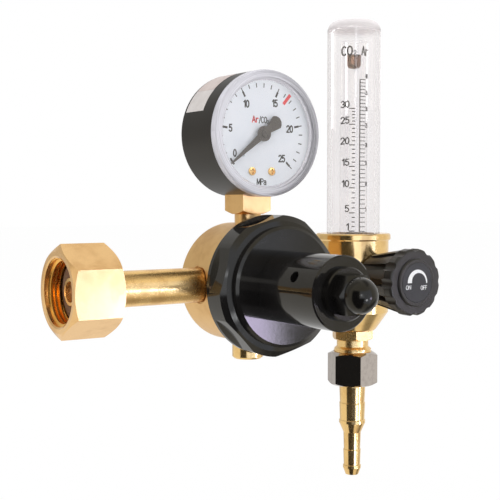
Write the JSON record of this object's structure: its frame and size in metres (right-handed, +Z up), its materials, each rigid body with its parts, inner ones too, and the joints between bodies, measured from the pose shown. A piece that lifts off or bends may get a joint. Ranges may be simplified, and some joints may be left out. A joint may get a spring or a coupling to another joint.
{
  "type": "gas flow regulator",
  "caption": "Shielding-gas flow regulator: cylinder union nut, pressure-reducing body with contents gauge, flow-meter tube with needle-valve knob, and stepped hose tail.",
  "frame": {"origin": "centre of the inlet union nut's open mouth, on its thread axis", "axes": "+X from the union nut into the regulator, +Z up through the gauge and flow tube, -Y the way the bonnet, dial and knob face"},
  "size_m": [0.1619, 0.0975, 0.2066],
  "materials": {
    "brass_bright": "polished",
    "brass_satin": "turned satin",
    "chromed_nut": "polished",
    "black_bonnet": "black anodised",
    "black_gloss": "glossy",
    "black_satin": "satin",
    "label_film": "printed",
    "black_case": "gloss enamel",
    "clear_cover": "clear",
    "clear_tube": "clear, printed",
    "dial_white": "printed enamel",
    "pointer_paint": "satin",
    "float_black": "smooth",
    "spring_steel": "drawn wire",
    "screw_steel": "plated",
    "soft_black": "matte",
    "seal_grey": "matte",
    "filter_bronze": "sintered"
  },
  "bodies": {
    "regulator": {"inlet_stem": "brass_satin", "inlet_seal": "seal_grey", "inlet_filter": "filter_bronze", "regulator_body": "brass_satin", "seat_nozzle": "brass_satin", "poppet_spring": "spring_steel", "diaphragm": "soft_black", "slip_ring": "brass_satin", "adjusting_spring": "spring_steel", "spring_button": "brass_satin", "adjusting_screw": "screw_steel", "bonnet": "black_bonnet", "lock_nut": "brass_satin", "relief_body": "brass_bright", "relief_spring": "spring_steel", "relief_plug": "brass_satin", "gauge_stem": "brass_satin", "gauge_seal": "soft_black", "gauge_case": "black_case", "gauge_lens": "clear_cover", "gauge_dial": "dial_white", "dial_screw_left": "brass_satin", "dial_screw_right": "brass_satin", "bourdon_tube": "brass_satin", "movement_front_plate": "brass_satin", "movement_back_plate": "brass_satin", "movement_post_left": "brass_satin", "movement_post_right": "brass_satin", "outlet_link": "brass_bright", "flow_block": "brass_bright", "cover_tube": "clear_cover", "cover_seal": "soft_black", "metering_tube": "clear_tube", "float_stop": "brass_satin", "float_guard": "brass_satin", "gland_nut": "brass_satin", "stem_packing": "soft_black", "outlet_fitting": "brass_bright", "hose_tail": "brass_satin"},
    "inlet_union": {"inlet_nut": "brass_bright"},
    "outlet_union": {"outlet_nut": "chromed_nut"},
    "needle": {"valve_needle": "brass_satin"},
    "knob": {"valve_knob": "black_satin", "knob_screw": "screw_steel", "knob_label": "label_film"},
    "pointer": {"gauge_pointer": "pointer_paint", "pointer_arbor": "brass_satin"},
    "sector": {"sector_gear": "brass_satin"},
    "link": {"tip_link": "brass_satin"},
    "float": {"float_ball": "float_black"},
    "cap": {"screw_cap": "black_gloss"},
    "relief": {"relief_poppet": "soft_black"},
    "valve": {"poppet": "brass_satin", "diaphragm_plate": "brass_satin"}
  },
  "joints": [
    {"name": "inlet_nut_spin", "type": "hinge", "parent": "regulator", "child": "inlet_union", "pos_m": [0, 0, 0], "axis": [1, 0, 0], "continuous": true},
    {"name": "outlet_nut_spin", "type": "hinge", "parent": "regulator", "child": "outlet_union", "pos_m": [0.14485, 0, -0.0424], "axis": [0, 0, 1], "continuous": true},
    {"name": "needle_travel", "type": "slide", "parent": "regulator", "child": "needle", "axis": [0, -1, 0], "range_m": [0, 0.0015]},
    {"name": "knob_turn", "type": "hinge", "parent": "needle", "child": "knob", "pos_m": [0.14485, 0, 0], "axis": [0, -1, 0], "range_deg": [0, 541]},
    {"name": "pointer_turn", "type": "hinge", "parent": "regulator", "child": "pointer", "pos_m": [0.08695, 0, 0.0623], "axis": [0, 1, 0], "range_deg": [0, 270], "deforming": ["bourdon_tube"]},
    {"name": "sector_turn", "type": "hinge", "parent": "regulator", "child": "sector", "pos_m": [0.08695, 0, 0.0528], "axis": [0, 1, 0], "range_deg": [-41, 0]},
    {"name": "link_turn", "type": "hinge", "parent": "sector", "child": "link", "pos_m": [0.09155, 0, 0.052], "axis": [0, 1, 0], "range_deg": [0, 41]},
    {"name": "float_rise", "type": "slide", "parent": "regulator", "child": "float", "axis": [0, 0, 1], "range_m": [0, 0.0843]},
    {"name": "cap_pull", "type": "slide", "parent": "regulator", "child": "cap", "axis": [0, -1, 0], "range_m": [0, 0.014]},
    {"name": "relief_lift", "type": "slide", "parent": "regulator", "child": "relief", "axis": [0, 0, -1], "range_m": [0, 0.0015], "stiffness_N_per_m": 2000, "springref_m": -0.002, "deforming": ["relief_spring"]},
    {"name": "valve_lift", "type": "slide", "parent": "regulator", "child": "valve", "axis": [0, -1, 0], "range_m": [0, 0.00078], "stiffness_N_per_m": 8000, "springref_m": -0.002, "deforming": ["adjusting_spring", "poppet_spring", "diaphragm"]}
  ],
  "couplings": [
    {"joint": "knob_turn", "follows": "needle_travel", "rad_per_m": 6283.2},
    {"joint": "sector_turn", "follows": "pointer_turn", "ratio": -0.15},
    {"joint": "link_turn", "follows": "pointer_turn", "ratio": 0.15}
  ]
}
